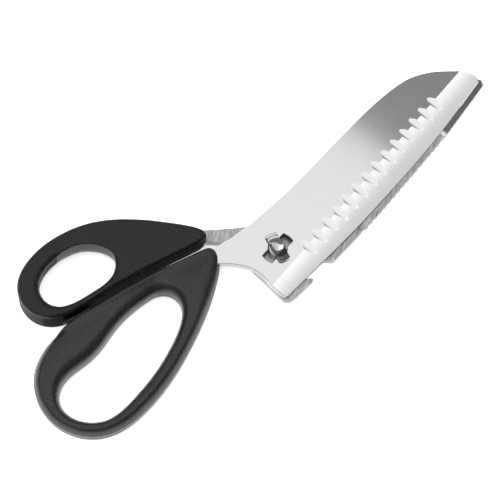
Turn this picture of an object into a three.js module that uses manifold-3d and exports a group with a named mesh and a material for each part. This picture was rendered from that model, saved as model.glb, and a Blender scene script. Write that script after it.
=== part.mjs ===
// Take-apart kitchen shears: a santoku-style knife blade over a serrated lower
// blade, each moulded into its own handle, held together by a T-headed stud
// that releases through a bow-tie slot in the knife blade.
//
// Millimetres, +Z up. The shears lie flat and closed: the handles' underside is
// Z = 0, +X runs from the handles to the blade tips, and the origin is the
// centre of the footprint.
import * as THREE from 'three';
import { mergeVertices } from 'three/addons/utils/BufferGeometryUtils.js';
import Module from 'manifold-3d';

const wasm = await Module();
wasm.setup();
const { Manifold, Mesh: ManifoldMesh } = wasm;

// ---------------------------------------------------------------- dimensions
const HANDLE_HEIGHT = 12.0;        // both handles, top to underside
const BUMPER_PROUD = 1.7;          // bumper strip, proud of the handle's wall
const LARGE_ROUND = [2.6, 3.6];    // edge rounding of the large loop, sideways and up
const SMALL_ROUND = [1.5, 2.0];    // edge rounding of the small handle
const UPPER_Z0 = 6.1, UPPER_Z1 = 9.0;   // knife blade, underside and top
const LOWER_Z0 = 3.0, LOWER_Z1 = 5.9;   // serrated blade, underside and top
const GAP = 0.3;                   // clearance between pieces that touch

const PIVOT_X = 0.5, PIVOT_Y = 0.0;     // pivot axis in the drawing frame
const SHANK_R = 3.75;              // stud shank, turns in the knife blade
const KNIFE_HOLE_R = 4.05;         // round hole in the knife blade
const SLOT_R = 7.3;                // half length of the bow-tie slot
const SLOT_HALF_W = 2.6;           // half width of the slot's wings
const SLOT_ANGLE = -2;             // slot direction from +X, degrees
const HEAD_R = 6.75;               // T-head, half length
const HEAD_HALF_W = 2.45;          // T-head, half width, passes the slot
const HEAD_ANGLE = 66;             // T-head direction from +X, degrees
const HEAD_Z0 = 9.3, HEAD_Z1 = 11.8;
const TENON_R = 2.9;               // riveted end through the lower blade
const RIVET_R = 4.6, RIVET_Z0 = 1.9;

const BEVEL_TOP_Y = -8.6;          // line where the knife's bevel begins
const BEVEL_SLOPE = 0.25;          // fall of the bevel per mm towards the edge
const SCALLOPS = 14;               // hollow-ground scallops along the bevel
const SCALLOP_X0 = 9.4, SCALLOP_PITCH = 7.03;
const SCALLOP_HALF_W = 2.3, SCALLOP_HALF_L = 4.2, SCALLOP_DEPTH = 0.5;
const TEETH = 17, TOOTH_PITCH = 3.31, TOOTH_X0 = 34.6, TOOTH_Y = -21.3, TOOTH_DEPTH = 0.85;

// footprint centre in the drawing frame, moved to the origin
const SHIFT = new THREE.Vector3(-6.896, -25.459, 0);

// ------------------------------------------------------------------- helpers
const V = (p) => new THREE.Vector3(p[0], p[1], 0);

/** smooth closed outline through the points */
function loop(points, samples) {
  const c = new THREE.CatmullRomCurve3(points.map(V), true, 'centripetal');
  return c.getSpacedPoints(samples).slice(0, samples).map((p) => new THREE.Vector2(p.x, p.y));
}

/** outline made of smooth stretches that meet at corners */
function outline(stretches) {
  const out = [];
  for (const [pts, n] of stretches) {
    if (pts.length < 3 || n < 2) { out.push(...pts.map((p) => new THREE.Vector2(p[0], p[1]))); continue; }
    const c = new THREE.CatmullRomCurve3(pts.map(V), false, 'centripetal');
    out.push(...c.getSpacedPoints(n).map((p) => new THREE.Vector2(p.x, p.y)));
  }
  return out.filter((p, i) => i === 0 || p.distanceTo(out[i - 1]) > 1e-3);
}

function solid(geometry) {
  let g = geometry.index ? geometry.toNonIndexed() : geometry.clone();
  g.deleteAttribute('normal'); g.deleteAttribute('uv');
  g = mergeVertices(g, 1e-4);
  // triangles that closed up on an axis or a repeated point are dropped
  const keep = [], ix = g.index.array;
  for (let i = 0; i < ix.length; i += 3) {
    const [a, b, c] = [ix[i], ix[i + 1], ix[i + 2]];
    if (a !== b && b !== c && c !== a) keep.push(a, b, c);
  }
  g.setIndex(keep);
  return new Manifold(new ManifoldMesh({
    numProp: 3,
    vertProperties: new Float32Array(g.attributes.position.array),
    triVerts: new Uint32Array(g.index.array),
  }));
}

function slab(points, z0, z1, holes = []) {
  const s = new THREE.Shape(points);
  for (const h of holes) s.holes.push(new THREE.Path(h));
  const g = new THREE.ExtrudeGeometry(s, { depth: z1 - z0, bevelEnabled: false, curveSegments: 24 });
  g.translate(0, 0, z0);
  return solid(g);
}

/** outline moved sideways by d along its own normals, inwards on a
 *  counter-clockwise outline and into the plate on a clockwise hole */
function inset(points, d) {
  const n = points.length;
  return points.map((p, i) => {
    const t = points[(i + 1) % n].clone().sub(points[(i + n - 1) % n]).normalize();
    return new THREE.Vector2(p.x - t.y * d, p.y + t.x * d);
  });
}

/** plate with its top and bottom edges rounded, the outline at mid height */
function rounded(outer, holes, z0, z1, [rxy, rz], segments) {
  const contours = [outer, ...holes].map((c, k) =>
    THREE.ShapeUtils.isClockWise(c) === (k > 0) ? c : c.slice().reverse());
  const levels = [];
  for (let i = 0; i <= segments; i++) {
    const a = (i / segments) * Math.PI / 2;
    levels.push([z0 + rz * (1 - Math.cos(a)), rxy * (1 - Math.sin(a))]);
  }
  for (let i = segments; i >= 0; i--) {
    const a = (i / segments) * Math.PI / 2;
    levels.push([z1 - rz * (1 - Math.cos(a)), rxy * (1 - Math.sin(a))]);
  }
  const pos = [], idx = [], start = [];
  let total = 0;
  contours.forEach((c) => { start.push(total); total += c.length; });
  levels.forEach(([z, d]) => contours.forEach((c) => inset(c, d).forEach((p) => pos.push(p.x, p.y, z))));
  for (let l = 0; l + 1 < levels.length; l++) {
    contours.forEach((c, k) => {
      for (let i = 0; i < c.length; i++) {
        const a = l * total + start[k] + i, b = l * total + start[k] + (i + 1) % c.length;
        idx.push(a, b, b + total, a, b + total, a + total);
      }
    });
  }
  const rim = contours.map((c) => inset(c, levels[0][1]));
  const last = (levels.length - 1) * total;
  THREE.ShapeUtils.triangulateShape(rim[0], rim.slice(1)).forEach(([a, b, c]) => {
    idx.push(a, c, b);
    idx.push(last + a, last + b, last + c);
  });
  const g = new THREE.BufferGeometry();
  g.setAttribute('position', new THREE.Float32BufferAttribute(pos, 3));
  g.setIndex(idx);
  return solid(g);
}

function lathe(profile, segments, x, y) {
  const g = new THREE.LatheGeometry(profile.map((p) => new THREE.Vector2(p[0], p[1])), segments);
  g.rotateX(Math.PI / 2);
  g.translate(x, y, 0);
  return solid(g);
}

function disc(r, z0, z1, n = 48) {
  return lathe([[0, z0], [r, z0], [r, z1], [0, z1]], n, PIVOT_X, PIVOT_Y);
}

/** box centred on the pivot, turned about Z */
function pivotBox(lx, ly, z0, z1, angle) {
  const g = new THREE.BoxGeometry(lx, ly, z1 - z0);
  g.rotateZ(THREE.MathUtils.degToRad(angle));
  g.translate(PIVOT_X, PIVOT_Y, (z0 + z1) / 2);
  return solid(g);
}

function mesh(name, body, color, roughness, metalness) {
  const m = body.getMesh();
  let g = new THREE.BufferGeometry();
  const stride = m.numProp, src = m.vertProperties, n = src.length / stride;
  const pos = new Float32Array(n * 3);
  for (let i = 0; i < n; i++) for (let k = 0; k < 3; k++) pos[3 * i + k] = src[stride * i + k];
  g.setAttribute('position', new THREE.BufferAttribute(pos, 3));
  g.setIndex(new THREE.BufferAttribute(new Uint32Array(m.triVerts), 1));
  g.computeVertexNormals();
  const out = new THREE.Mesh(g, new THREE.MeshStandardMaterial({ color, roughness, metalness }));
  out.name = name;
  return out;
}

// ------------------------------------------------------------------ outlines
const LARGE_OUTER = [
  [-16.2, 18.4], [-17.6, 20.9], [-21.5, 22.9], [-26.8, 25.1], [-32.0, 27.2], [-40.0, 30.6],
  [-50.0, 34.2], [-60.0, 37.3], [-70.0, 40.2], [-78.0, 42.5], [-85.6, 43.9], [-91.8, 43.9],
  [-97.6, 42.6], [-102.7, 40.2], [-107.0, 36.5], [-110.4, 31.5], [-112.4, 25.9], [-113.0, 20.0],
  [-112.0, 14.1], [-109.6, 8.6], [-105.9, 4.0], [-101.0, 0.6], [-95.5, -1.5], [-89.6, -2.6],
  [-83.6, -3.0], [-77.6, -3.0], [-71.6, -2.6], [-65.7, -1.8], [-59.8, -0.7], [-54.0, 0.6],
  [-48.2, 2.1], [-42.5, 3.8], [-36.9, 5.7], [-31.3, 7.9], [-25.9, 10.4], [-21.2, 13.0], [-17.6, 15.8],
];
const LARGE_HOLE = [
  [-45.9, 25.5], [-50.6, 27.0], [-55.5, 28.0], [-60.5, 28.6], [-65.5, 28.7], [-70.4, 28.3],
  [-75.4, 27.6], [-80.4, 27.3], [-85.3, 27.7], [-90.2, 28.7], [-95.1, 29.4], [-99.9, 28.7],
  [-104.0, 26.3], [-106.6, 22.3], [-107.0, 17.4], [-105.4, 12.6], [-102.5, 8.6], [-98.6, 5.8],
  [-93.8, 4.4], [-88.8, 3.9], [-83.8, 3.8], [-78.8, 3.9], [-73.8, 4.2], [-68.9, 4.8],
  [-64.0, 5.7], [-59.1, 6.8], [-54.3, 8.2], [-49.7, 10.1], [-45.4, 12.9], [-42.7, 16.8], [-42.7, 21.7],
];
const SMALL_OUTER = [
  [-13.3, 27.6], [-14.3, 31.3], [-17.0, 36.6], [-20.1, 41.8], [-23.3, 46.9], [-26.8, 51.8],
  [-31.3, 57.3], [-35.9, 61.9], [-40.6, 65.6], [-45.7, 68.6], [-51.2, 70.9], [-57.0, 72.6],
  [-62.9, 73.5], [-68.9, 73.4], [-75.0, 72.2], [-80.2, 69.4], [-83.8, 65.1], [-85.5, 60.0],
  [-85.1, 54.5], [-82.3, 49.5], [-77.7, 46.0], [-71.5, 43.5], [-61.5, 40.7], [-51.5, 37.8],
  [-41.5, 34.3], [-31.5, 30.4], [-21.5, 26.5], [-17.2, 25.1], [-14.3, 25.4],
];
const SMALL_HOLE = [
  [-50.9, 62.4], [-55.4, 64.7], [-60.1, 66.0], [-64.9, 66.2], [-69.5, 65.4],
  [-73.8, 63.4], [-76.9, 59.9], [-78.0, 55.1], [-76.2, 50.6], [-71.8, 47.6],
  [-67.1, 45.9], [-62.3, 44.6], [-57.5, 43.5], [-52.6, 43.5], [-48.2, 45.5],
  [-45.5, 48.7], [-45.3, 52.9], [-47.1, 57.8],
];

// knife blade: heel, cutting edge, tip, spine, tang, and the neck back to the heel
const KNIFE = [
  [[[-14.4, -8.0], [-14.6, -14.8]], 1],
  [[[-14.3, -15.5], [-13.6, -15.9], [-6.8, -16.5], [1.3, -17.1], [11.3, -17.9], [21.4, -18.6],
    [30.0, -19.1], [41.5, -19.5], [51.6, -19.8], [61.6, -20.0], [76.7, -20.1], [91.8, -19.8],
    [101.9, -19.3], [111.9, -18.7], [123.8, -17.9]], 34],
  [[[124.8, -17.6], [125.3, -16.6], [125.4, -15.0], [125.0, -13.2], [124.1, -11.2], [122.5, -9.0],
    [120.4, -6.7], [118.0, -4.0], [114.2, -0.1], [110.0, 3.1], [105.0, 5.9], [100.0, 7.6],
    [92.0, 9.2], [80.0, 10.6], [70.0, 11.2], [60.0, 11.6], [50.0, 11.95], [40.0, 12.3],
    [30.0, 12.75], [20.0, 13.5], [12.0, 14.3], [6.0, 15.0], [0.0, 15.9], [-4.0, 16.7],
    [-8.0, 17.5], [-12.0, 18.7], [-15.5, 20.0]], 60],
  // tang inside the large handle
  [[[-37.5, 22.0], [-37.5, 14.5]], 1],
  [[[-20.6, 14.4], [-18.6, 12.2], [-16.6, 9.1], [-14.9, 6.0], [-13.7, 3.0], [-13.2, 0.0],
    [-13.3, -3.0], [-13.9, -6.0]], 12],
];

// serrated blade: back edge with the bottle-opener hook and the scaler teeth,
// tip, straight cutting edge (hidden when closed), tang, heel
function lowerStretches() {
  const teeth = [];
  for (let i = 0; i < TEETH; i++) {
    const x = TOOTH_X0 + i * TOOTH_PITCH;
    const y = TOOTH_Y - 0.5 * Math.min(1, i / 4);
    const q = TOOTH_PITCH / 4;
    teeth.push([x - q, y], [x - 0.45 * q, y - TOOTH_DEPTH], [x + 0.45 * q, y - TOOTH_DEPTH], [x + q, y]);
  }
  return [
    [[[-14.9, -15.2], [-14.8, -16.0], [-14.3, -16.8], [-13.4, -17.7], [-12.3, -18.1], [-10.5, -18.5],
      [-5.4, -18.9], [-0.6, -19.4], [0.2, -19.3], [0.3, -18.8], [-0.2, -18.0], [-1.4, -16.9],
      [-1.9, -15.5], [-1.0, -14.2], [1.0, -13.5], [4.0, -13.5], [7.0, -14.3], [9.0, -16.0]], 28],
    [[[12.1, -20.2], [12.9, -20.6], [17.8, -20.9], [24.9, -21.3], [31.2, -21.5]], 6],
    [[[32.0, -21.1], [33.0, -20.9]], 1],
    [teeth, 1],
    [[[90.6, -21.9], [94.0, -22.05], [102.0, -21.6], [110.0, -21.1], [118.0, -20.65], [124.9, -20.25]], 8],
    [[[125.4, -20.0], [126.6, -18.0]], 1],
    [[[126.2, -17.2], [124.6, -16.6], [110.0, -12.6], [90.0, -8.3], [60.0, -3.4], [30.0, 0.6], [20.0, 1.7]], 14],
    [[[15.5, 3.6], [11.0, 8.0], [6.0, 12.5], [1.4, 16.8], [-2.6, 20.4], [-6.7, 24.5], [-10.7, 28.7]], 10],
    [[[-23.0, 41.8], [-28.5, 38.3]], 1],
    [[[-15.1, 25.2], [-11.6, 20.2], [-10.4, 16.0], [-10.7, 10.0], [-12.2, 4.2], [-13.4, -5.0]], 9],
  ];
}

// ------------------------------------------------------------------- handles
const largeOuter = loop(LARGE_OUTER, 108);
const largeHole = loop(LARGE_HOLE, 76);
const smallOuter = loop(SMALL_OUTER, 90);
const smallHole = loop(SMALL_HOLE, 56);

// pockets are the tangs with clearance all round
const knifePocket = slab([[-38.2, 22.9], [-38.2, 13.7], [-12.0, 13.0], [-12.0, 21.2]]
  .map((p) => new THREE.Vector2(p[0], p[1])).reverse(), UPPER_Z0 - GAP, UPPER_Z1 + GAP);
const lowerPocket = slab([[-9.4, 27.3], [-22.9, 42.4], [-29.5, 38.2], [-14.2, 22.6]]
  .map((p) => new THREE.Vector2(p[0], p[1])), LOWER_Z0 - GAP, LOWER_Z1 + GAP);

const largeHandle = rounded(largeOuter, [largeHole], 0, HANDLE_HEIGHT, LARGE_ROUND, 4).subtract(knifePocket);
const smallHandle = rounded(smallOuter, [smallHole], 0, HANDLE_HEIGHT, SMALL_ROUND, 3).subtract(lowerPocket);

// bumper strip on the small handle's inner wall, meets the large handle
const bumperRun = smallOuter.map((p, i) => [p, i]).filter(([p]) => p.x < -66 && p.x > -79.5 && p.y < 50);
const bumperIn = inset(smallOuter, -GAP), bumperOut = inset(smallOuter, -BUMPER_PROUD);
const bumper = slab([
  ...bumperRun.map(([, i]) => bumperOut[i]),
  ...bumperRun.map(([, i]) => bumperIn[i]).reverse(),
], 4.4, 7.2);

// -------------------------------------------------------------------- blades
let knife = slab(outline(KNIFE), UPPER_Z0, UPPER_Z1);
knife = knife.subtract(disc(KNIFE_HOLE_R, UPPER_Z0 - 1, UPPER_Z1 + 1));
knife = knife.subtract(pivotBox(2 * SLOT_R + 4, 2 * SLOT_HALF_W, UPPER_Z0 - 1, UPPER_Z1 + 1, SLOT_ANGLE)
  .intersect(disc(SLOT_R, UPPER_Z0 - 1, UPPER_Z1 + 1)));
{
  // long wedge that leaves the bevel face, its upper line running along the blade
  const w = 16, x0 = -20, x1 = 132;
  const g = new THREE.ExtrudeGeometry(new THREE.Shape([
    new THREE.Vector2(0, 0), new THREE.Vector2(-w, -w * BEVEL_SLOPE),
    new THREE.Vector2(-w, 1), new THREE.Vector2(0, 1),
  ]), { depth: x1 - x0, bevelEnabled: false });
  // profile (u, v) -> (Y, Z), depth -> X
  g.applyMatrix4(new THREE.Matrix4().makeBasis(
    new THREE.Vector3(0, 1, 0), new THREE.Vector3(0, 0, 1), new THREE.Vector3(1, 0, 0)));
  g.translate(x0, BEVEL_TOP_Y, UPPER_Z1);
  knife = knife.subtract(solid(g));
}
for (let i = 0; i < SCALLOPS; i++) {
  const g = new THREE.SphereGeometry(1, 16, 10);
  g.scale(SCALLOP_HALF_W, SCALLOP_HALF_L, SCALLOP_DEPTH * 2);
  g.rotateX(THREE.MathUtils.degToRad(7));
  g.translate(SCALLOP_X0 + i * SCALLOP_PITCH, BEVEL_TOP_Y - 0.9, UPPER_Z1 + 0.35);
  knife = knife.subtract(solid(g));
}

let lower = slab(outline(lowerStretches()), LOWER_Z0, LOWER_Z1)
  .subtract(disc(TENON_R + GAP, LOWER_Z0 - 1, LOWER_Z1 + 1, 40));

// ---------------------------------------------------------------------- stud
const head = lathe([[0, HEAD_Z0], [HEAD_R, HEAD_Z0], [HEAD_R, HEAD_Z0 + 0.5], [5.6, HEAD_Z0 + 1.3],
  [4.2, HEAD_Z0 + 1.9], [2.4, HEAD_Z1 - 0.2], [0, HEAD_Z1]], 48, PIVOT_X, PIVOT_Y)
  .intersect(pivotBox(20, 2 * HEAD_HALF_W, HEAD_Z0 - 1, HEAD_Z1 + 1, HEAD_ANGLE));
const shank = lathe([[0, RIVET_Z0], [RIVET_R - 0.8, RIVET_Z0], [RIVET_R, RIVET_Z0 + 0.4],
  [RIVET_R, LOWER_Z0 - GAP], [TENON_R, LOWER_Z0 - GAP], [TENON_R, LOWER_Z1 + GAP],
  [SHANK_R, LOWER_Z1 + GAP], [SHANK_R, HEAD_Z0 + 0.6], [SHANK_R - 0.6, HEAD_Z0 + 1.0],
  [0, HEAD_Z0 + 1.0]], 40, PIVOT_X, PIVOT_Y);
const stud = shank.add(head);

// ------------------------------------------------------------------ assembly
const shears = new THREE.Group();
shears.position.copy(SHIFT);
const STEEL = 0xc9c9c7, POLISHED = 0xb9b9b9, BLACK = 0x232323;

const fixedHalf = new THREE.Group();          // serrated blade side
fixedHalf.add(mesh('lower_blade', lower, STEEL, 0.35, 1.0));
fixedHalf.add(mesh('small_handle', smallHandle, BLACK, 0.5, 0.0));
fixedHalf.add(mesh('stop_bumper', bumper, BLACK, 0.7, 0.0));
fixedHalf.add(mesh('pivot_stud', stud, POLISHED, 0.15, 1.0));

const knifeHalf = new THREE.Group();          // knife blade side
knifeHalf.add(mesh('knife_blade', knife, STEEL, 0.3, 1.0));
knifeHalf.add(mesh('large_handle', largeHandle, BLACK, 0.5, 0.0));

shears.add(fixedHalf, knifeHalf);
export default shears;
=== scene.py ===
"""Take-apart kitchen shears: a scalloped knife blade over a serrated blade,
a T-head stud in a bow-tie slot and two looped black handles.

Outlines are in millimetres with +X along the blades and the pivot near the
origin; put() moves them to the shared frame, in metres."""
import math

import bpy
import numpy as np
from mathutils import Matrix, Vector
from mathutils.geometry import delaunay_2d_cdt
from mathutils.kdtree import KDTree


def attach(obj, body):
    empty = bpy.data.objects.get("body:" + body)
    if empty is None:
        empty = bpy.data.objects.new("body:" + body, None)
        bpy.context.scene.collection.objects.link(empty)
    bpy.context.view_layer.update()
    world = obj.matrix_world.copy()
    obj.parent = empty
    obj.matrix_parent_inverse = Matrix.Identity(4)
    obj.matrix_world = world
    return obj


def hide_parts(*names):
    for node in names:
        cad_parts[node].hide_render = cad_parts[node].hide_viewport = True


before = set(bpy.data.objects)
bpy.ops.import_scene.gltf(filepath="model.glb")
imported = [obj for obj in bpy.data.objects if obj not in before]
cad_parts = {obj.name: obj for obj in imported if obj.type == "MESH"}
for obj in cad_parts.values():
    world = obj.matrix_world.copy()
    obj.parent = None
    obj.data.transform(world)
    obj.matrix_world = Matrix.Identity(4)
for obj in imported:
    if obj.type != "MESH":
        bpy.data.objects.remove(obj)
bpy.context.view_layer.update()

SHIFT = np.array([-6.896, -25.459, 0.0])
PIVOT = np.array([0.5, 0.0])

# light: an overhead softbox that ends past the blade's middle, a brighter one in
# front of the cutting edge that fades forward, dim surroundings and a white floor
WORLD = 0.29
FLOOR_GLOW = 0.5
BOXES = (("overhead", -1.6, 0.636, 0.03, 1.6, 0.72),
         ("front_1", -1.6, 1.3, -0.20, 0.03, 1.06),
         ("front_2", -1.6, 1.3, -0.235, -0.20, 1.05),
         ("front_3", -1.6, 1.3, -0.27, -0.235, 0.90),
         ("front_4", -1.6, 1.3, -0.50, -0.27, 0.48),
         ("front_side", 1.3, 2.6, -0.50, 0.03, 0.35),
         ("left", -1.6, 0.03, 0.03, 1.4, 1.7),
         ("back", 0.03, 0.5, 0.33, 1.4, 2.3))
FILL = 0.80                   # broad light for the floor only, unseen in the steel

# -------------------------------------------------------------------- outlines
LARGE_OUTER = [
    (-16.2, 18.4), (-17.6, 20.9), (-21.5, 22.9), (-26.8, 25.1), (-32.0, 27.2), (-40.0, 30.6),
    (-50.0, 34.2), (-60.0, 37.3), (-70.0, 40.2), (-78.0, 42.5), (-85.6, 43.9), (-91.8, 43.9),
    (-97.6, 42.6), (-102.7, 40.2), (-107.0, 36.5), (-110.4, 31.5), (-112.4, 25.9),
    (-113.0, 20.0), (-112.0, 14.1), (-109.6, 8.6), (-105.9, 4.0), (-101.0, 0.6), (-95.5, -1.5),
    (-89.6, -2.6), (-83.6, -3.0), (-77.6, -3.0), (-71.6, -2.6), (-65.7, -1.8), (-59.8, -0.7),
    (-54.0, 0.6), (-48.2, 2.1), (-42.5, 3.8), (-36.9, 5.7), (-31.3, 7.9), (-25.9, 10.4),
    (-21.2, 13.0), (-17.6, 15.8),
]
LARGE_HOLE = [
    (-45.9, 25.5), (-50.6, 27.0), (-55.5, 28.0), (-60.5, 28.6), (-65.5, 28.7), (-70.4, 28.3),
    (-75.4, 27.6), (-80.4, 27.3), (-85.3, 27.7), (-90.2, 28.7), (-95.1, 29.4), (-99.9, 28.7),
    (-104.0, 26.3), (-106.6, 22.3), (-107.0, 17.4), (-105.4, 12.6), (-102.5, 8.6),
    (-98.6, 5.8), (-93.8, 4.4), (-88.8, 3.9), (-83.8, 3.8), (-78.8, 3.9), (-73.8, 4.2),
    (-68.9, 4.8), (-64.0, 5.7), (-59.1, 6.8), (-54.3, 8.2), (-49.7, 10.1), (-45.4, 12.9),
    (-42.7, 16.8), (-42.7, 21.7),
]
SMALL_OUTER = [
    (-13.3, 27.6), (-14.3, 31.3), (-17.0, 36.6), (-20.1, 41.8), (-23.3, 46.9), (-26.8, 51.8),
    (-31.3, 57.3), (-35.9, 61.9), (-40.6, 65.6), (-45.7, 68.6), (-51.2, 70.9), (-57.0, 72.6),
    (-62.9, 73.5), (-68.9, 73.4), (-75.0, 72.2), (-80.2, 69.4), (-83.8, 65.1), (-85.5, 60.0),
    (-85.1, 54.5), (-82.3, 49.5), (-77.7, 46.0), (-71.5, 43.5), (-61.5, 40.7), (-51.5, 37.8),
    (-41.5, 34.3), (-31.5, 30.4), (-21.5, 26.5), (-17.2, 25.1), (-14.3, 25.4),
]
SMALL_HOLE = [
    (-50.9, 62.4), (-55.4, 64.7), (-60.1, 66.0), (-64.9, 66.2), (-69.5, 65.4), (-73.8, 63.4),
    (-76.9, 59.9), (-78.0, 55.1), (-76.2, 50.6), (-71.8, 47.6), (-67.1, 45.9), (-62.3, 44.6),
    (-57.5, 43.5), (-52.6, 43.5), (-48.2, 45.5), (-45.5, 48.7), (-45.3, 52.9), (-47.1, 57.8),
]
HANDLE_TOP = 12.0
UPPER = (6.1, 9.0)            # knife blade, underside and flat face
LOWER = (3.0, 5.9)            # serrated blade

# knife blade, counter-clockwise: (points, smooth curve or straight run)
KNIFE = [
    ([(-14.4, -8.0), (-14.6, -14.8)], False),
    ([(-14.3, -15.5), (-13.6, -15.9), (-6.8, -16.5), (1.3, -17.1), (11.3, -17.9), (21.4, -18.6),
      (30.0, -19.1), (41.5, -19.5), (51.6, -19.8), (61.6, -20.0), (76.7, -20.1), (91.8, -19.8),
      (101.9, -19.3), (111.9, -18.7), (123.8, -17.9)], True),
    ([(124.8, -17.6), (125.3, -16.6), (125.4, -15.0), (125.0, -13.2), (124.1, -11.2), (122.5, -9.0),
      (120.4, -6.7), (118.0, -4.0), (114.2, -0.1), (110.0, 3.1), (105.0, 5.9), (100.0, 7.6),
      (92.0, 9.2), (80.0, 10.6), (70.0, 11.2), (60.0, 11.6), (50.0, 11.95), (40.0, 12.3),
      (30.0, 12.75), (20.0, 13.5), (12.0, 14.3), (6.0, 15.0), (0.0, 15.9), (-4.0, 16.7),
      (-8.0, 17.5), (-12.0, 18.7), (-15.5, 20.0)], True),
    ([(-37.5, 22.0), (-37.5, 14.5)], False),
    ([(-20.6, 14.4), (-18.6, 12.2), (-16.6, 9.1), (-14.9, 6.0), (-13.7, 3.0), (-13.2, 0.0),
      (-13.3, -3.0), (-13.9, -6.0)], True),
]
BEVEL_Y = -8.6                # upper line of the ground bevel
BEVEL_A, BEVEL_B = 0.20, 0.0021
SCALLOP_X = [9.4 + 7.03 * i for i in range(14)]
SCALLOP_R, SCALLOP_D, SCALLOP_S = 6.1, 0.377, 0.13
TOOTH_X0, TOOTH_PITCH, TEETH = 32.9, 3.31, 17


# ------------------------------------------------------------------ mesh tools
def curve(pts, step, closed=False):
    """centripetal Catmull-Rom curve through pts, resampled every step mm"""
    p = np.asarray(pts, float)
    n = len(p)
    if closed:
        ext = np.vstack([p[-1], p, p[0], p[1]])
    else:
        ext = np.vstack([2 * p[0] - p[1], p, 2 * p[-1] - p[-2]])
    out = []
    for i in range(n if closed else n - 1):
        p0, p1, p2, p3 = ext[i:i + 4]
        d0, d1, d2 = (max(np.linalg.norm(b - a), 1e-6) ** 0.5 for a, b in ((p0, p1), (p1, p2), (p2, p3)))
        t1 = ((p1 - p0) / d0 - (p2 - p0) / (d0 + d1) + (p2 - p1) / d1) * d1
        t2 = ((p2 - p1) / d1 - (p3 - p1) / (d1 + d2) + (p3 - p2) / d2) * d1
        t = np.linspace(0, 1, 40, endpoint=False)[:, None]
        out.append((2 * t**3 - 3 * t**2 + 1) * p1 + (t**3 - 2 * t**2 + t) * t1
                   + (-2 * t**3 + 3 * t**2) * p2 + (t**3 - t**2) * t2)
    q = np.vstack(out + [p[:1] if closed else p[-1:]])
    s = np.r_[0, np.cumsum(np.linalg.norm(np.diff(q, axis=0), axis=1))]
    m = max(2, int(round(s[-1] / step)))
    u = np.linspace(0, s[-1], m + 1)
    q = np.stack([np.interp(u, s, q[:, 0]), np.interp(u, s, q[:, 1])], 1)
    return q[:-1] if closed else q


def soften(c, sigma):
    """closed, evenly spaced outline with its small waves smoothed away"""
    per = np.linalg.norm(np.roll(c, -1, 0) - c, axis=1).sum()
    f = np.fft.fftfreq(len(c), per / len(c))
    k = np.exp(-2 * (math.pi * sigma * f) ** 2)
    z = np.fft.ifft(np.fft.fft(c[:, 0] + 1j * c[:, 1]) * k)
    return np.stack([z.real, z.imag], 1)


def stretches(parts, step):
    out = []
    for pts, smooth in parts:
        if smooth is None:
            q = np.asarray(pts, float)
        elif smooth:
            q = curve(pts, step)
        else:
            q = np.vstack([np.linspace(a, b, max(2, int(np.hypot(b[0] - a[0], b[1] - a[1]) / step) + 1))
                           for a, b in zip(pts, pts[1:])])
        out.append(q)
    q = np.vstack(out)
    # the joins between stretches are filled to the same spacing
    r = []
    for a, b in zip(q, np.roll(q, -1, 0)):
        m = max(1, int(np.hypot(*(b - a)) / (1.6 * step)))
        r.extend(a + (b - a) * k / m for k in range(m))
    r = np.array(r)
    keep = np.linalg.norm(np.roll(r, -1, 0) - r, axis=1) > 1e-3
    return r[keep]


def area(c):
    x, y = c[:, 0], c[:, 1]
    return 0.5 * float(np.sum(x * np.roll(y, -1) - np.roll(x, -1) * y))


def wind(contours):
    return [c if (area(c) > 0) == (i == 0) else c[::-1] for i, c in enumerate(contours)]


def inward(c):
    t = np.roll(c, -1, 0) - np.roll(c, 1, 0)
    t /= np.linalg.norm(t, axis=1)[:, None] + 1e-12
    return np.stack([-t[:, 1], t[:, 0]], 1)


def inside(contours, q):
    q = np.asarray(q, float)
    hit = np.zeros(len(q), bool)
    for c in contours:
        a, b = c, np.roll(c, -1, 0)
        for k in range(0, len(q), 4000):
            x, y = q[k:k + 4000, 0][:, None], q[k:k + 4000, 1][:, None]
            cr = (a[:, 1] > y) != (b[:, 1] > y)
            dy = np.where(b[:, 1] == a[:, 1], 1e-12, b[:, 1] - a[:, 1])
            xi = a[:, 0] + (y - a[:, 1]) * (b[:, 0] - a[:, 0]) / dy
            hit[k:k + 4000] ^= (np.sum(cr & (x < xi), axis=1) % 2).astype(bool)
    return hit


class Rim:
    """distance from points to one or more closed outlines"""

    def __init__(self, contours):
        self.a = np.vstack(contours)
        self.nxt = np.vstack([np.roll(c, -1, 0) for c in contours])
        self.prv = np.vstack([np.roll(c, 1, 0) for c in contours])
        self.kd = KDTree(len(self.a))
        for i, p in enumerate(self.a):
            self.kd.insert((p[0], p[1], 0), i)
        self.kd.balance()

    def __call__(self, q):
        q = np.asarray(q, float).reshape(-1, 2)
        i = np.array([self.kd.find((x, y, 0))[1] for x, y in q], int)

        def seg(a, b):
            ab = b - a
            t = np.clip(np.sum((q - a) * ab, 1) / (np.sum(ab * ab, 1) + 1e-12), 0, 1)[:, None]
            return np.linalg.norm(q - a - ab * t, axis=1)
        return np.minimum(seg(self.a[i], self.nxt[i]), seg(self.a[i], self.prv[i]))


def put(v):
    return (np.asarray(v, float) + SHIFT) / 1000.0


def make(name, verts, faces, mats, index=None, sharp=30.0):
    me = bpy.data.meshes.new(name)
    me.from_pydata([tuple(p) for p in put(verts)], [], [tuple(int(i) for i in f) for f in faces])
    for m in mats:
        me.materials.append(m)
    if index is not None:
        me.polygons.foreach_set("material_index", np.asarray(index, np.int32))
    me.polygons.foreach_set("use_smooth", np.ones(len(me.polygons), bool))
    me.set_sharp_from_angle(angle=math.radians(sharp))
    me.validate()
    me.update()
    ob = bpy.data.objects.new(name, me)
    bpy.context.scene.collection.objects.link(ob)
    return ob


def hexgrid(lo, hi, step):
    ys = np.arange(lo[1], hi[1], step * 0.866)
    return np.array([(x + (step / 2 if j % 2 else 0), y) for j, y in enumerate(ys)
                     for x in np.arange(lo[0], hi[0], step)])


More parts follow.
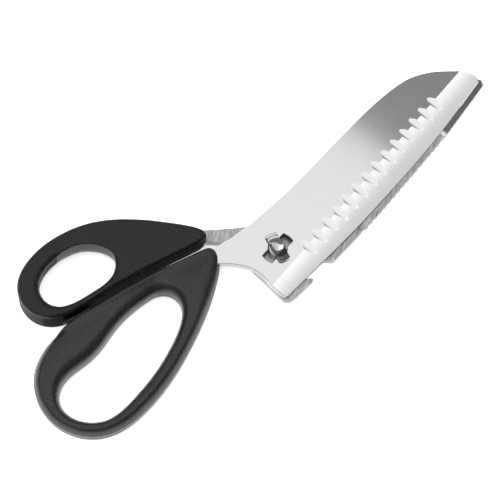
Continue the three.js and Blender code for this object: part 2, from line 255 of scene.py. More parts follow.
def plate(contours, top, bottom, rings, grid, points=None, lines=(), relax=None, levels=(), keep_off=0.0):
    """closed solid over a flat outline: top(p, do, dh) and bottom(p, do, dh)
    give the heights from a point's distance to the outer outline and to the
    holes. Returns vertices, faces and each face's kind (0 top, 1 side, 2 bottom)."""
    contours = wind(contours)
    rim = Rim(contours)
    pts, edges = [], []
    for c in contours:
        o = len(pts)
        pts.extend(map(tuple, c))
        edges.extend((o + i, o + (i + 1) % len(c)) for i in range(len(c)))
    for d in rings:
        for c in contours:
            q = c + inward(c) * d
            q = q[(rim(q) > 0.985 * d)]
            last = None
            for p in q:
                if last is None or np.hypot(*(p - last)) > 0.12:
                    pts.append(tuple(p))
                    last = p
    for ln in lines:
        o = len(pts)
        pts.extend(map(tuple, ln))
        edges.extend((o + i, o + i + 1) for i in range(len(ln) - 1))
    lo, hi = contours[0].min(0), contours[0].max(0)
    cloud = [hexgrid(lo, hi, grid)]
    if points is not None:
        cloud.append(points)
    cloud = np.vstack(cloud)
    far = (rings[-1] if rings else 0) + 0.3 * min(grid, 0.8)
    cloud = cloud[inside(contours, cloud)]
    cloud = cloud[rim(cloud) > far]
    if lines:
        allp = np.vstack(lines)
        kd = KDTree(len(allp))
        for i, p in enumerate(allp):
            kd.insert((p[0], p[1], 0), i)
        kd.balance()
        cloud = np.array([p for p in cloud if kd.find((p[0], p[1], 0))[2] > keep_off])
    pts.extend(map(tuple, cloud))
    v2, _, f2, *_ = delaunay_2d_cdt([Vector(p) for p in pts], edges, [], 0, 1e-4)
    v2 = np.array([(p[0], p[1]) for p in v2])
    tri = np.array([f[:3] for f in f2 if len(f) == 3])
    x = v2[tri]
    cr = ((x[:, 1, 0] - x[:, 0, 0]) * (x[:, 2, 1] - x[:, 0, 1])
          - (x[:, 1, 1] - x[:, 0, 1]) * (x[:, 2, 0] - x[:, 0, 0]))
    tri[cr < 0] = tri[cr < 0][:, ::-1]
    tri = tri[np.abs(cr) > 1e-9]
    tri = tri[inside(contours, v2[tri].mean(1))]
    used = np.unique(tri)
    remap = -np.ones(len(v2), int)
    remap[used] = np.arange(len(used))
    v2, tri = v2[used], remap[tri]
    outer = Rim(contours[:1])(v2)
    holes = Rim(contours[1:])(v2) if len(contours) > 1 else np.full(len(v2), 1e3)
    zt, zb = top(v2, outer, holes), bottom(v2, outer, holes)
    if relax:
        e = np.unique(np.sort(np.vstack([tri[:, [0, 1]], tri[:, [1, 2]], tri[:, [2, 0]]]), 1), axis=0)
        deg = np.bincount(e.ravel(), minlength=len(v2)).astype(float)
        w = np.clip((np.minimum(outer, holes) - relax[0]) / relax[1], 0, 1)
        for _ in range(relax[2]):
            for z in (zt, zb):
                s = np.bincount(e[:, 0], z[e[:, 1]], len(v2)) + np.bincount(e[:, 1], z[e[:, 0]], len(v2))
                z += w * 0.6 * (s / deg - z)
    n = len(v2)
    half = {}
    for a, b in np.vstack([tri[:, [0, 1]], tri[:, [1, 2]], tri[:, [2, 0]]]):
        half[(a, b)] = 1
    rimedges = [(a, b) for a, b in half if (b, a) not in half]
    verts = [np.c_[v2, zt], np.c_[v2, zb]]
    faces = [list(t) for t in tri] + [[t[0] + n, t[2] + n, t[1] + n] for t in tri]
    kind = [0] * len(tri) + [2] * len(tri)
    on = sorted({i for e in rimedges for i in e})
    rows = [{i: i + n for i in on}]
    extra, count = [], 2 * n
    for f in levels:
        row = {}
        for i in on:
            extra.append((v2[i, 0], v2[i, 1], zb[i] + (zt[i] - zb[i]) * f))
            row[i] = count
            count += 1
        rows.append(row)
    rows.append({i: i for i in on})
    for lo_r, hi_r in zip(rows, rows[1:]):
        for a, b in rimedges:
            faces.append([lo_r[a], lo_r[b], hi_r[b], hi_r[a]])
            kind.append(1)
    if extra:
        verts.append(np.array(extra))
    return np.vstack(verts), faces, np.array(kind)


def cutter(points, z0, z1, name="cutter"):
    c = wind([np.asarray(points, float)])[0]
    n = len(c)
    v = np.vstack([np.c_[c, np.full(n, z0)], np.c_[c, np.full(n, z1)]])
    f = [list(range(n))[::-1], list(range(n, 2 * n))]
    f += [[i, (i + 1) % n, n + (i + 1) % n, n + i] for i in range(n)]
    return make(name, v, f, [])


def boolean(ob, other, op, sharp):
    m = ob.modifiers.new("b", "BOOLEAN")
    m.operation, m.solver, m.object = op, "EXACT", other
    dg = bpy.context.evaluated_depsgraph_get()
    me = bpy.data.meshes.new_from_object(ob.evaluated_get(dg))
    ob.modifiers.clear()
    old = ob.data
    ob.data = me
    bpy.data.meshes.remove(old)
    me.name = ob.name
    bpy.data.objects.remove(other)
    me.polygons.foreach_set("use_smooth", np.ones(len(me.polygons), bool))
    me.set_sharp_from_angle(angle=math.radians(sharp))


# ------------------------------------------------------------------- materials
def material(name, color, rough, metal, spec=0.5):
    m = bpy.data.materials.new(name)
    m.use_nodes = True
    nt = m.node_tree
    b = nt.nodes["Principled BSDF"]
    b.inputs["Base Color"].default_value = (*color, 1)
    b.inputs["Roughness"].default_value = rough
    b.inputs["Metallic"].default_value = metal
    b.inputs["Specular IOR Level"].default_value = spec
    tc = nt.nodes.new("ShaderNodeTexCoord")
    return m, nt, b, tc


def noise(nt, tc, scale, stretch=(1, 1, 1), turn=0.0, detail=3.0, rough=0.5):
    mp = nt.nodes.new("ShaderNodeMapping")
    mp.vector_type = "TEXTURE"
    mp.inputs["Scale"].default_value = tuple(1.0 / q for q in stretch)
    mp.inputs["Rotation"].default_value = (0, 0, turn)
    nt.links.new(tc.outputs["Object"], mp.inputs["Vector"])
    n = nt.nodes.new("ShaderNodeTexNoise")
    n.inputs["Scale"].default_value = scale
    n.inputs["Detail"].default_value = detail
    n.inputs["Roughness"].default_value = rough
    nt.links.new(mp.outputs["Vector"], n.inputs["Vector"])
    return n.outputs["Fac"]


def ramp(nt, fac, a, b, lo=0.0, hi=1.0):
    r = nt.nodes.new("ShaderNodeMapRange")
    r.inputs["From Min"].default_value = lo
    r.inputs["From Max"].default_value = hi
    r.inputs["To Min"].default_value = a
    r.inputs["To Max"].default_value = b
    nt.links.new(fac, r.inputs["Value"])
    return r.outputs["Result"]


def tint(nt, fac, a, b):
    r = nt.nodes.new("ShaderNodeValToRGB")
    r.color_ramp.elements[0].color = (*a, 1)
    r.color_ramp.elements[1].color = (*b, 1)
    r.color_ramp.elements[0].position = 0.3
    r.color_ramp.elements[1].position = 0.7
    nt.links.new(fac, r.inputs["Fac"])
    return r.outputs["Color"]


def bump(nt, height, dist, strength=1.0, under=None):
    n = nt.nodes.new("ShaderNodeBump")
    n.inputs["Distance"].default_value = dist
    n.inputs["Strength"].default_value = strength
    nt.links.new(height, n.inputs["Height"])
    if under is not None:
        nt.links.new(under, n.inputs["Normal"])
    return n.outputs["Normal"]


def steel(name, lo, hi, r0, r1, grain, turn, depth, cross=0.0):
    """ground stainless steel: grain along one direction, or two crossing ones"""
    m, nt, b, tc = material(name, hi, r0, 1.0)
    g = noise(nt, tc, 1.0, grain, turn, 4.0, 0.6)
    big = noise(nt, tc, 60.0, (1, 1, 1), 0.0, 2.0)
    nt.links.new(tint(nt, g, lo, hi), b.inputs["Base Color"])
    mix = nt.nodes.new("ShaderNodeMath")
    mix.operation = "MULTIPLY_ADD"
    nt.links.new(big, mix.inputs[0])
    mix.inputs[1].default_value = 0.5
    nt.links.new(g, mix.inputs[2])
    nt.links.new(ramp(nt, mix.outputs[0], r0, r1, 0.4, 1.1), b.inputs["Roughness"])
    nrm = bump(nt, g, depth)
    if cross:
        nrm = bump(nt, noise(nt, tc, 1.0, grain, turn + cross, 4.0, 0.6), depth, 1.0, nrm)
    nt.links.new(nrm, b.inputs["Normal"])
    return m


def plastic(name, color, rough, spec, scale, depth):
    m, nt, b, tc = material(name, color, rough, 0.0, spec)
    fine = noise(nt, tc, scale, (1, 1, 1), 0.0, 2.0, 0.6)
    wide = noise(nt, tc, 90.0, (1, 1, 1), 0.0, 3.0, 0.5)
    lo = tuple(c * 0.3 for c in color)
    hi = tuple(c * 2.2 for c in color)
    grit = nt.nodes.new("ShaderNodeMath")
    grit.operation = "MULTIPLY_ADD"
    nt.links.new(fine, grit.inputs[0])
    grit.inputs[1].default_value = 1.8
    nt.links.new(ramp(nt, wide, -0.44, -0.36, 0.3, 0.7), grit.inputs[2])
    nt.links.new(tint(nt, grit.outputs[0], lo, hi), b.inputs["Base Color"])
    nt.links.new(ramp(nt, wide, rough - 0.015, rough + 0.015, 0.3, 0.7), b.inputs["Roughness"])
    nt.links.new(bump(nt, fine, depth), b.inputs["Normal"])
    return m


FACE = steel("knife_satin", (0.73, 0.73, 0.725), (0.80, 0.80, 0.79), 0.085, 0.125, (300, 5200, 5200), 0.0, 2e-7)
BEVEL = steel("knife_ground_bevel", (0.74, 0.74, 0.735), (0.84, 0.84, 0.83), 0.10, 0.15, (5200, 300, 300), 0.0, 3e-7)
# edge steel darkened to stand for painted shade on the blades' side walls
WALL = steel("steel_edge_painted_shade", (0.22, 0.22, 0.22), (0.36, 0.36, 0.355), 0.20, 0.32, (900, 900, 6000), 0.0, 1.2e-6)
# a lighter copy of the edge steel: painted light on the knife's heel walls
PALE = steel("steel_edge_painted_light", (0.42, 0.42, 0.42), (0.54, 0.54, 0.535), 0.22, 0.34, (900, 900, 6000), 0.0, 1.2e-6)
PALE.node_tree.nodes["Principled BSDF"].inputs["Metallic"].default_value = 0.6
SCALLOP = steel("scallop_ground", (0.60, 0.60, 0.595), (0.68, 0.68, 0.675), 0.12, 0.18, (5200, 300, 300), 0.0, 3e-7)
# two darker copies of the scallop steel: painted shade on each scallop's heel side
SCALLOP_SHADE_MID = steel("scallop_painted_shade_mid", (0.52, 0.52, 0.515), (0.58, 0.58, 0.575), 0.12, 0.18, (5200, 300, 300), 0.0, 3e-7)
SCALLOP_SHADE_DEEP = steel("scallop_painted_shade_deep", (0.39, 0.39, 0.385), (0.45, 0.45, 0.445), 0.14, 0.20, (5200, 300, 300), 0.0, 3e-7)
# a near-black copy of the edge steel: painted shade in the slot and along the knife's edges
WALL_SHADE = steel("steel_wall_painted_shade", (0.05, 0.05, 0.05), (0.10, 0.10, 0.10), 0.35, 0.45, (900, 900, 6000), 0.0, 1.2e-6)
GROUND = steel("serrated_cross_ground", (0.21, 0.21, 0.205), (0.66, 0.66, 0.65), 0.36, 0.46,
               (170, 1500, 1500), math.radians(22), 6e-6, math.radians(64))
PLAIN = steel("serrated_plain", (0.30, 0.30, 0.30), (0.38, 0.38, 0.375), 0.12, 0.18, (300, 4200, 4200), 0.0, 4e-7)
# the stud's four steels are painted reflections: a mid tone, a painted light, a painted shade and a white painted
# highlight
STUD = steel("stud_polished", (0.42, 0.42, 0.42), (0.54, 0.54, 0.535), 0.08, 0.16, (700, 700, 700), 0.0, 1e-6)
STUD_LIT = steel("stud_painted_light", (0.60, 0.60, 0.60), (0.72, 0.72, 0.72), 0.07, 0.12, (700, 700, 700), 0.0, 1e-6)
STUD_SHADE = steel("stud_painted_shade", (0.07, 0.07, 0.07), (0.14, 0.14, 0.14), 0.10, 0.16, (700, 700, 700), 0.0, 1e-6)
STUD_HIGHLIGHT = steel("stud_painted_highlight", (0.95, 0.95, 0.95), (0.97, 0.97, 0.97), 0.18, 0.22, (700, 700, 700), 0.0, 1e-6)
STUD_HIGHLIGHT.node_tree.nodes["Principled BSDF"].inputs["Metallic"].default_value = 0.5
STUDS = [STUD, STUD_LIT, STUD_SHADE, STUD_HIGHLIGHT]
BLACK = plastic("handle_black", (0.0048, 0.0048, 0.0050), 0.33, 0.31, 1500.0, 1.6e-4)
BLACK_L = plastic("handle_black_round", (0.0044, 0.0044, 0.0046), 0.29, 0.52, 1500.0, 1.3e-4)
# a duller, slightly darker copy of the handle plastic: painted shade on chosen walls and edges
SIDE_SHADE = plastic("handle_black_wall_painted_shade", (0.0045, 0.0045, 0.0047), 0.50, 0.10, 1700.0, 1.0e-4)
# a near-black copy of the handle plastic: painted shade where the two handles face each other
SHADE = plastic("handle_black_painted_shade", (0.002, 0.002, 0.002), 0.60, 0.06, 1150.0, 1.0e-4)
RUBBER = plastic("bumper_black", (0.012, 0.012, 0.012), 0.50, 0.5, 1500.0, 6e-5)


# --------------------------------------------------------------------- handles
def drop(d, rxy, rz, power=2.0):
    """how far an edge rounding lies below the face, d from the outline"""
    u = np.clip(1 - d / rxy, 0, 1)
    return rz * (1 - np.power(np.clip(1 - u**power, 0, 1), 1 / power))


def handle(name, outer, hole, shape, relax, grid, rmax, other, shift=0.0):
    co = soften(curve(outer, 0.75, True), 0.9)
    ch = soften(curve(hole, 0.7, True), 0.9)
    d = ch - ch.mean(0)
    u = (d @ np.array([0.50, 0.86])) / np.hypot(d[:, 0], d[:, 1])
    ch = ch - shift * np.clip(u, 0, 1)[:, None] * np.array([0.50, 0.86])
    rings = [rmax * (1 - math.cos(a)) for a in np.radians([7, 14, 22, 30, 38, 46, 54, 62, 70, 80, 90])]

    def top(p, do, dh):
        (ox, oz), (hx, hz) = shape(p)[:2]
        return HANDLE_TOP - np.minimum(drop(do, ox, oz) + drop(dh, hx, hz) + shape(p)[3](do, dh), 5.4)

    def bottom(p, do, dh):
        (ox, oz), (hx, hz) = shape(p)[2]
        return np.minimum(drop(do, ox, oz) + drop(dh, hx, hz), 8.1)
    v, f, k = plate([co, ch], top, bottom, rings, grid, relax=relax, levels=(0.2, 0.4, 0.6, 0.8))
    cen = np.array([v[list(q)].mean(0) for q in f])
    side = (k == 1) | ((k != 0) & (cen[:, 2] > 0.3))
    # walls near the rim that face the other handle get the near-black copy as painted shade
    idx = np.where(side & (other(cen[:, :2]) < 8.5) & (Rim([co])(cen[:, :2]) < 2.5), 1, 0)
    # the duller copy is painted shade: on the thumb loop's outer walls and most of its hole wall, and on the finger
    # loop's top edge beside the thumb loop
    if shift:
        idx = np.where(side & (idx == 0) & (Rim([co])(cen[:, :2]) < 2.5), 2, idx)
        d = cen[:, :2] - ch.mean(0)
        u = (d @ np.array([0.9, 0.44])) / np.hypot(d[:, 0], d[:, 1])
        idx = np.where(side & (Rim([ch])(cen[:, :2]) < 3.0) & (u < 0.5), 2, idx)
    else:
        idx = np.where((k == 0) & (Rim([co])(cen[:, :2]) < 0.8) & (other(cen[:, :2]) < 4.5), 2, idx)
    return make(name, v, f, [BLACK if shift else BLACK_L, SHADE, SIDE_SHADE], idx, sharp=60)


small_edge = Rim([curve(SMALL_OUTER, 0.75, True)])
large_edge = Rim([curve(LARGE_OUTER, 0.75, True)])


def large_shape(p):
    """full soft section, but a tight edge where the two handles lie side by side"""
    w = np.clip((7.5 - small_edge(p)) / 4.5, 0, 1)
    w = w * w * (3 - 2 * w)
    # broad near the saddle's hole side, a little tighter on the far arm
    return ((3.9 - 2.9 * w, 4.6 - 3.3 * w), (4.4, 4.3), ((2.8, 3.4), (2.8, 3.6)),
            lambda do, dh: 1.8 * (1 - w) * np.clip(1 - do / 10.5, 0, 1) ** 2 + 1.3 * np.clip(1 - dh / 9.5, 0, 1) ** 2)


def small_shape(p):
    """flat face; the hole's far rim is crisp, its near rim broadly rounded"""
    c = np.array([-62.0, 55.0])
    d = p - c
    u = (d[:, 0] * 0.90 + d[:, 1] * 0.44) / (np.hypot(d[:, 0], d[:, 1]) + 1e-6)
    w = np.clip((u - 0.42) / 0.34, 0, 1)
    w = w * w * (3 - 2 * w)
    # towards the blades, the side that faces the finger loop is drawn in below
    e = np.clip((8.0 - large_edge(p)) / 3.0, 0, 1) * np.clip((p[:, 0] + 42.0) / 8.0, 0, 1)
    return ((1.8, 2.1), (3.0 - 2.3 * w, 3.0 - 2.3 * w), ((1.5 + 1.2 * e, 1.9 + 4.0 * e), (3.4, 7.9)),
            lambda do, dh: 0.0)


large = handle("handle_finger_loop", LARGE_OUTER, LARGE_HOLE, large_shape, (1.6, 1.2, 5), 1.2, 2.4, small_edge)
small = handle("handle_thumb_loop", SMALL_OUTER, SMALL_HOLE, small_shape, (2.4, 1.5, 4), 1.4, 3.0, large_edge, 0.55)
boolean(large, cutter([(-38.2, 22.6), (-38.2, 14.0), (-20.7, 13.9), (-12.0, 12.8), (-12.0, 19.1), (-15.6, 20.35)],
                      UPPER[0] - 0.12, UPPER[1] + 0.12), "DIFFERENCE", 60)
boolean(small, cutter([(-10.4, 28.85), (-22.9, 42.2), (-29.0, 38.3), (-12.2, 20.8)],
                      LOWER[0] - 0.12, LOWER[1] + 0.12), "DIFFERENCE", 60)


# ---------------------------------------------------------------- knife blade
knife_rim = stretches(KNIFE, 0.9)
ang = np.radians(np.arange(0, 360, 3.0))
corner = [math.asin(2.6 / 7.3), math.asin(2.6 / 4.05)]
ang = np.unique(np.r_[ang, [s + b for s in (corner[0], -corner[0], corner[1], -corner[1])
                            for b in (0, math.pi)]] % (2 * math.pi))
rad = np.maximum(4.05, np.minimum(7.3, 2.6 / np.maximum(np.abs(np.sin(ang)), 1e-6)))
slot_c = PIVOT + np.stack([rad * np.cos(ang + math.radians(-2)), rad * np.sin(ang + math.radians(-2))], 1)
# more points along the straight runs of the slot
slot_c = np.vstack([a + (b - a) * t for a, b in zip(slot_c, np.roll(slot_c, -1, 0))
                    for t in (np.linspace(0, 1, max(2, int(np.hypot(*(b - a)) / 0.5) + 1))[:-1, None])])


def bevel_drop(y):
    t = np.maximum(BEVEL_Y - y, 0)
    return BEVEL_A * t + BEVEL_B * t * t


def knife_top(p, do, dh):
    x, y = p[:, 0], p[:, 1]
    z = UPPER[1] - bevel_drop(y)
    t = BEVEL_Y - y
    for xc in SCALLOP_X:
        u = x - xc
        m = np.abs(u) < 3.0
        zs = UPPER[1] - SCALLOP_D - SCALLOP_S * t + u * u / (2 * SCALLOP_R)
        z = np.where(m & (t > -3.2) & (t < 9.5), np.minimum(z, zs), z)
    z = np.maximum(z, UPPER[0] + 0.25)
    return z - np.maximum(0, 0.13 - np.minimum(do, dh))


def knife_bottom(p, do, dh):
    return UPPER[0] + np.maximum(0, 0.13 - np.minimum(do, dh))


lines = [np.array([(x, BEVEL_Y) for x in np.arange(-16.0, 126.0, 0.4)])]
cloud = []
for xc in SCALLOP_X:
    t = np.linspace(-SCALLOP_D / SCALLOP_S, 12, 4000)
    g = SCALLOP_D + SCALLOP_S * t - np.where(t > 0, BEVEL_A * t + BEVEL_B * t * t, 0)
    stop = t[np.argmax((g < 0) & (t > 0))]
    tt = -SCALLOP_D / SCALLOP_S + (stop + SCALLOP_D / SCALLOP_S) * (1 - np.cos(np.linspace(0, math.pi, 34))) / 2
    g = np.clip(SCALLOP_D + SCALLOP_S * tt - np.where(tt > 0, BEVEL_A * tt + BEVEL_B * tt * tt, 0), 0, None)
    u = np.sqrt(2 * SCALLOP_R * g)
    lines.append(np.stack([xc - u, BEVEL_Y - tt], 1))
    lines.append(np.stack([xc + u[1:-1], BEVEL_Y - tt[1:-1]], 1))
    cloud.append(hexgrid((xc - 2.6, BEVEL_Y - stop), (xc + 2.6, BEVEL_Y + 3.0), 0.42))
cloud.append(np.array([(x, y) for y in np.arange(-19.8, BEVEL_Y - 0.4, 0.9) for x in np.arange(-14, 126, 2.4)]))
v, f, k = plate([knife_rim, slot_c], knife_top, knife_bottom, [0.13], 4.0, np.vstack(cloud), lines, keep_off=0.16)
cen = np.array([v[list(q)].mean(0) for q in f])
tt = BEVEL_Y - cen[:, 1]
low = cen[:, 2] < UPPER[1] - 0.02
idx = np.where(k == 1, 2, np.where((k == 0) & low & (tt > -3.1), 1, 0))
# the slot walls, then the edge chamfer along the blade, get the near-black steel as painted shade
idx = np.where((k == 1) & (np.hypot(cen[:, 0] - PIVOT[0], cen[:, 1] - PIVOT[1]) < 8.0), 3, idx)
rim_d = Rim([knife_rim])(cen[:, :2])
idx = np.where((k == 0) & (rim_d < 0.12) & (cen[:, 1] < 12) & (cen[:, 0] < 108), 3, idx)
# remaining knife walls: the lighter copy as painted light behind x 0, the near-black copy as painted shade from x 0 on
idx = np.where((k == 1) & (idx == 2), np.where(cen[:, 0] < 0, 4, 3), idx)
# each scallop's heel side gets the two darker steels as painted shade, darkest at its outer edge
u = np.min(np.abs(cen[:, 0][:, None] - np.array(SCALLOP_X)[None, :]), 1)
s = cen[:, 0] - np.array(SCALLOP_X)[np.argmin(np.abs(cen[:, 0][:, None] - np.array(SCALLOP_X)[None, :]), 1)]
below = (UPPER[1] - bevel_drop(cen[:, 1])) - cen[:, 2] > 0.004
hollow = (idx == 1) & below & (tt > -3.1) & (tt < 9.5) & (np.abs(s) < 2.6)
idx = np.where(hollow, np.where(s < -1.7, 7, np.where(s < -0.9, 6, 5)), idx)
knife = make("knife_blade_scalloped", v, f, [FACE, BEVEL, WALL, WALL_SHADE, PALE, SCALLOP, SCALLOP_SHADE_MID, SCALLOP_SHADE_DEEP], idx, sharp=7)


# -------------------------------------------------------------- serrated blade
def tooth(x):
    w = np.abs(np.sin(math.pi * (x - TOOTH_X0) / TOOTH_PITCH))
    return -21.0 - 0.22 * np.clip((x - 33) / 14, 0, 1) - 1.05 * np.power(w, 0.62)


tx = np.arange(TOOTH_X0, TOOTH_X0 + TEETH * TOOTH_PITCH + 1e-6, TOOTH_PITCH / 14)
LOWER_PARTS = [
    ([(-14.9, -15.2), (-14.8, -16.0), (-14.3, -16.8), (-13.4, -17.7), (-12.3, -18.1), (-10.5, -18.5),
      (-5.4, -18.9), (-0.6, -19.4), (0.2, -19.3), (0.3, -18.8), (-0.2, -18.0), (-1.4, -16.9),
      (-1.9, -15.5), (-1.0, -14.2), (1.0, -13.5), (4.0, -13.5), (7.0, -14.3), (9.0, -16.0)], True),
    ([(12.1, -20.2), (12.9, -20.6), (17.8, -20.9), (24.9, -21.3), (31.2, -21.5)], True),
    ([(32.0, -21.1), (32.8, -20.95)], False),
    (np.stack([tx, tooth(tx)], 1), None),
    ([(90.6, -21.9), (94.0, -22.05), (102.0, -21.6), (110.0, -21.1), (118.0, -20.65), (124.9, -20.25)], True),
    ([(125.3, -20.1), (126.4, -17.9)], False),
    ([(126.1, -17.2), (124.6, -16.6), (110.0, -12.6), (90.0, -8.3), (60.0, -3.4), (30.0, 0.6), (20.0, 1.7)], True),
    ([(15.5, 3.6), (11.0, 8.0), (6.0, 12.5), (1.4, 16.8), (-2.6, 20.4), (-6.7, 24.5), (-10.7, 28.7)], True),
    ([(-23.0, 41.8), (-28.5, 38.3)], False),
    ([(-15.1, 25.2), (-11.6, 20.2), (-10.4, 16.0), (-10.7, 10.0), (-12.2, 4.2), (-13.4, -5.0)], True),
]
lower_rim = stretches(LOWER_PARTS, 0.8)
a = np.radians(np.arange(0, 360, 6.0))
tenon = PIVOT + 3.1 * np.stack([np.cos(a), np.sin(a)], 1)
CUT = [(127.0, -17.6), (110.0, -12.6), (90.0, -8.3), (60.0, -3.4), (30.0, 0.6), (20.0, 1.7)]


def cut_line(x):
    xs, ys = zip(*CUT[::-1])
    return np.interp(x, xs, ys)


def lower_top(p, do, dh):
    x, y = p[:, 0], p[:, 1]
    r = np.clip((x - 31.2) / 0.6, 0, 1) * np.clip((93.4 - x) / 1.6, 0, 1) * np.clip((-17.0 - y) / 0.6, 0, 1)
    teeth = np.where((x > 32.5) & (x < 90), np.clip(0.5 - do, 0, 0.5) * 0.25, 0)
    return LOWER[1] - 0.22 * r - teeth - np.maximum(0, 0.13 - np.minimum(do, dh))


def lower_bottom(p, do, dh):
    x, y = p[:, 0], p[:, 1]
    near = np.clip(1 - (cut_line(x) - y) / 6.0, 0, 1) * np.clip((x - 18) / 8, 0, 1) * (x < 128)
    near = np.where(cut_line(x) - y < -0.6, 0, near)
    return LOWER[0] + 2.3 * near + np.maximum(0, 0.13 - np.minimum(do, dh)) * (near < 0.9)


tcloud = np.vstack([hexgrid((32.5, -22.2), (91.0, -19.4), 0.38),
                    hexgrid((16.0, -19.0), (128.0, 3.0), 1.1)])
lines = [np.array([(xx, -26.0), (xx, -17.0)]) for xx in (31.2, 31.8, 91.8, 93.4)]
lines += [np.array([(31.2, yy), (93.4, yy)]) for yy in (-17.0, -17.6)]
inner = np.array([(x, cut_line(x) - 6.0) for x in np.arange(20.0, 126.0, 3.0)])
lines.append(inner)
v, f, k = plate([lower_rim, tenon], lower_top, lower_bottom, [0.13, 0.5, 0.9], 4.0, tcloud, lines, keep_off=0.15)
cen = np.array([v[list(q)].mean(0) for q in f])
# side walls get the edge steel darkened as painted shade
idx = np.where(k == 1, 2, np.where((k == 0) & (cen[:, 0] > 93.3), 1, 0))
idx = np.where((k == 0) & (cen[:, 0] > 91.8) & (cen[:, 0] < 93.4), 3, idx)
lower = make("serrated_blade", v, f, [GROUND, PLAIN, WALL, BEVEL], idx, sharp=7)


# ------------------------------------------------------------------------ stud
def lathe(name, prof, n, mats, sharp):
    a = np.linspace(0, 2 * math.pi, n, endpoint=False)
    v, f = [(PIVOT[0], PIVOT[1], prof[0][1])], []
    for r, z in prof[1:-1]:
        v += [(PIVOT[0] + r * math.cos(t), PIVOT[1] + r * math.sin(t), z) for t in a]
    v.append((PIVOT[0], PIVOT[1], prof[-1][1]))
    m = len(prof) - 2
    for i in range(n):
        j = (i + 1) % n
        f.append([0, 1 + j, 1 + i])
        for q in range(m - 1):
            o = 1 + q * n
            f.append([o + i, o + j, o + n + j, o + n + i])
        o = 1 + (m - 1) * n
        f.append([o + i, o + j, len(v) - 1])
    return make(name, v, f, mats, sharp=sharp)


def arc(cx, cz, r, a0, a1, n):
    return [(cx + r * math.cos(t), cz + r * math.sin(t)) for t in np.radians(np.linspace(a0, a1, n))]


stud = lathe("pivot_stud_t_head",
             [(0, 1.9)] + [(2.6, 1.9)] + arc(3.8, 2.7, 0.8, -90, -5, 7)
             + [(4.6, 2.66), (2.95, 2.68), (2.92, 6.0), (3.45, 6.02), (3.72, 6.25), (3.72, 8.9)]
             + arc(3.47, 8.9, 0.25, 10, 90, 4) + [(3.0, 9.17), (2.4, 9.2), (0, 9.2)],
             96, STUDS, 28)

hd = math.radians(66)
HR, HW = 6.75, 2.45
th = np.unique(np.r_[np.radians(np.arange(0, 360, 2.0)),
                     [s + b for s in (math.asin(HW / HR), -math.asin(HW / HR)) for b in (0, math.pi)]] % (2 * math.pi))
hr = np.minimum(HR, HW / np.maximum(np.abs(np.sin(th)), 1e-6))
head_c = PIVOT + np.stack([hr * np.cos(th + hd), hr * np.sin(th + hd)], 1)
head_c = np.vstack([p + (q - p) * t for p, q in zip(head_c, np.roll(head_c, -1, 0))
                    for t in (np.linspace(0, 1, max(2, int(np.hypot(*(q - p)) / 0.25) + 1))[:-1, None])])
PROF_R = [0, 0.8, 1.6, 2.4, 3.1, 3.7, 4.15, 4.4, 4.6, 4.75, 6.05, 6.2, 6.8]
PROF_Z = [11.80, 11.76, 11.64, 11.42, 11.13, 10.80, 10.52, 10.30, 10.26, 10.36, 10.02, 9.94, 9.62]


def head_top(p, do, dh):
    r = np.hypot(p[:, 0] - PIVOT[0], p[:, 1] - PIVOT[1])
    up = (p[:, 0] - PIVOT[0]) * math.cos(hd) + (p[:, 1] - PIVOT[1]) * math.sin(hd) > 0
    z = np.interp(r, PROF_R, PROF_Z)
    z = np.where(up & (r > 4.5), 10.32 + 0.05 * np.sin((r - 4.5) * 2.2), z)
    return z - np.maximum(0, 0.22 - do) * 0.9


def head_bottom(p, do, dh):
    return 9.3 + np.maximum(0, 0.1 - do) * 0.9


def ring(r, step=0.3):
    n = int(2 * math.pi * r / step)
    t = np.linspace(0, 2 * math.pi, n + 1)
    return PIVOT + r * np.stack([np.cos(t), np.sin(t)], 1)


v, f, k = plate([head_c], head_top, head_bottom, [0.1, 0.22], 0.34, None,
                [ring(r) for r in (2.35, 3.1, 3.7, 4.15, 4.45, 4.6, 4.75, 5.1, 5.4, 6.05, 6.25)], keep_off=0.1)
cen = np.array([v[list(q)].mean(0) for q in f])
d = cen[:, :2] - PIVOT
r = np.hypot(d[:, 0], d[:, 1])
along = d[:, 0] * math.cos(hd) + d[:, 1] * math.sin(hd)
edge = Rim([head_c])(cen[:, :2])
# painted reflections on the head: lighter steel on the upper wing, the lower wing's end band and rim and a patch
# beside the crest; a white painted highlight spot; darker steel as painted shade on the lower wing, the dome's lower
# half, a ring on the upper wing and all sides
idx = np.where(r > 4.45, np.where(along > 0, 1, 2), 0)
idx = np.where((r <= 4.45) & (np.hypot((d[:, 0] + 0.1) * 0.8, (d[:, 1] + 1.0) * 0.55) < 0.95), 1, idx)
idx = np.where((r <= 4.45) & (np.hypot(d[:, 0] - 0.2, d[:, 1] + 1.4) < 0.75), 3, idx)
idx = np.where((r <= 4.45) & (r > 2.35) & (along < 0), 2, idx)
idx = np.where((r > 4.45) & (along > 0) & (r > 5.1) & (r < 5.4), 2, idx)
idx = np.where((r > 4.45) & (along < 0) & ((r > 6.25) | (edge < 0.2)), 1, idx)
idx = np.where((k != 0), 2, idx)
head = make("head", v, f, STUDS, idx, sharp=28)
neck = lathe("neck", [(0, 9.0), (2.2, 9.0), (2.2, 9.6), (0, 9.6)], 48, STUDS, 28)
boolean(stud, neck, "UNION", 28)
boolean(stud, head, "UNION", 28)

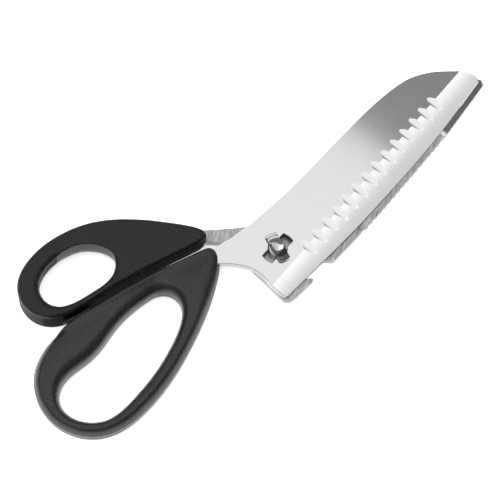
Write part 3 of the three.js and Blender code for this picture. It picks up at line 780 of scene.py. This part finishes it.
# ---------------------------------------------------------------------- bumper
run = soften(curve(SMALL_OUTER, 0.75, True), 0.9)
run = wind([run])[0]
sel = [i for i, p in enumerate(run) if -79.5 < p[0] < -66.0 and p[1] < 50]
start = next(i for i in sel if (i - 1) % len(run) not in sel)
path = np.array([run[(start + i) % len(run)] for i in range(len(sel))])
nrm = -inward(run)[[(start + i) % len(run) for i in range(len(sel))]]
sec = []
for t in np.linspace(0, 2 * math.pi, 28, endpoint=False):
    c, s = math.cos(t), math.sin(t)
    sec.append((math.copysign(abs(c) ** 0.55, c), math.copysign(abs(s) ** 0.55, s)))
v, f = [], []
m, n = len(path), len(sec)
for i in range(m):
    e = min(i, m - 1 - i) / 3.0
    g = math.sqrt(max(0.0, 1 - (1 - min(e, 1)) ** 2)) * 0.97 + 0.03
    for c, s in sec:
        v.append((*(path[i] + nrm[i] * (0.92 + 0.68 * c * g)), 5.8 + 1.35 * s * g))
for i in range(m - 1):
    for j in range(n):
        f.append([i * n + j, i * n + (j + 1) % n, (i + 1) * n + (j + 1) % n, (i + 1) * n + j])
f.append([j for j in range(n)][::-1])
f.append([(m - 1) * n + j for j in range(n)])
bumper = make("stop_bumper_pad", v, f, [RUBBER], sharp=50)
bm_vol = sum(Vector(bumper.data.vertices[q.vertices[0]].co).dot(q.normal) * q.area for q in bumper.data.polygons)
if bm_vol < 0:
    bumper.data.flip_normals()

# ------------------------------------------------------------------- hand over
for ob, node, body, slot in (
        (large, "large_handle", "knife_half", "handle_plastic"),
        (knife, "knife_blade", "knife_half", "blade_steel"),
        (small, "small_handle", "serrated_half", "handle_plastic"),
        (lower, "lower_blade", "serrated_half", "lower_steel"),
        (bumper, "stop_bumper", "serrated_half", "bumper_rubber"),
        (stud, "pivot_stud", "serrated_half", "stud_steel")):
    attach(ob, body)
    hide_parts(node)

# ----------------------------------------------------------------------- stage
scene = bpy.context.scene
n = 24
gx = np.linspace(-4, 4, n)
fv = [(x, y, -0.0002) for y in gx for x in gx]
ff = [[j * n + i, j * n + i + 1, (j + 1) * n + i + 1, (j + 1) * n + i] for j in range(n - 1) for i in range(n - 1)]
fm = bpy.data.meshes.new("floor")
fm.from_pydata(fv, [], ff)
floor = bpy.data.objects.new("floor", fm)
scene.collection.objects.link(floor)
m, nt, b, tc = material("floor_white", (0.92, 0.92, 0.92), 0.9, 0.0, 0.0)
b.inputs["Emission Color"].default_value = (1, 1, 1, 1)
b.inputs["Emission Strength"].default_value = FLOOR_GLOW
nt.links.new(tint(nt, noise(nt, tc, 3.0), (0.915, 0.915, 0.915), (0.925, 0.925, 0.925)), b.inputs["Base Color"])
fm.materials.append(m)

world = bpy.data.worlds.new("studio")
scene.world = world
world.use_nodes = True
world.node_tree.nodes["Background"].inputs["Color"].default_value = (WORLD, WORLD, WORLD, 1)
world.node_tree.nodes["Background"].inputs["Strength"].default_value = 1.0


def softbox(name, x0, x1, y0, y1, h, radiance):
    """downward rectangle at height h; corners given in metres on that plane"""
    d = bpy.data.lights.new(name, "AREA")
    d.shape = "RECTANGLE"
    d.size, d.size_y = x1 - x0, y1 - y0
    d.energy = radiance * math.pi * d.size * d.size_y
    o = bpy.data.objects.new(name, d)
    o.location = ((x0 + x1) / 2, (y0 + y1) / 2, h)
    scene.collection.objects.link(o)
    return o


for name, x0, x1, y0, y1, rad in BOXES:
    softbox(name, x0, x1, y0, y1, 1.0, rad)
fill = softbox("fill", -3.0, 3.0, -3.0, 3.0, 1.6, FILL)
fill.visible_glossy = False

cam = bpy.data.cameras.new("camera")
cam.lens, cam.sensor_width, cam.sensor_fit = 97.2, 36.0, "HORIZONTAL"
cam.clip_start, cam.clip_end = 0.01, 50
co = bpy.data.objects.new("camera", cam)
R = ((0.61586317, 0.68783777, -0.38417671), (-0.78476356, 0.57871489, -0.22189011),
     (0.06970438, 0.43814184, 0.89619921))
co.matrix_world = Matrix.Translation(put((-219.65356877, -114.32039068, 503.89703986))) @ Matrix(R).to_4x4()
scene.collection.objects.link(co)
scene.camera = co
scene.view_settings.view_transform = "Standard"
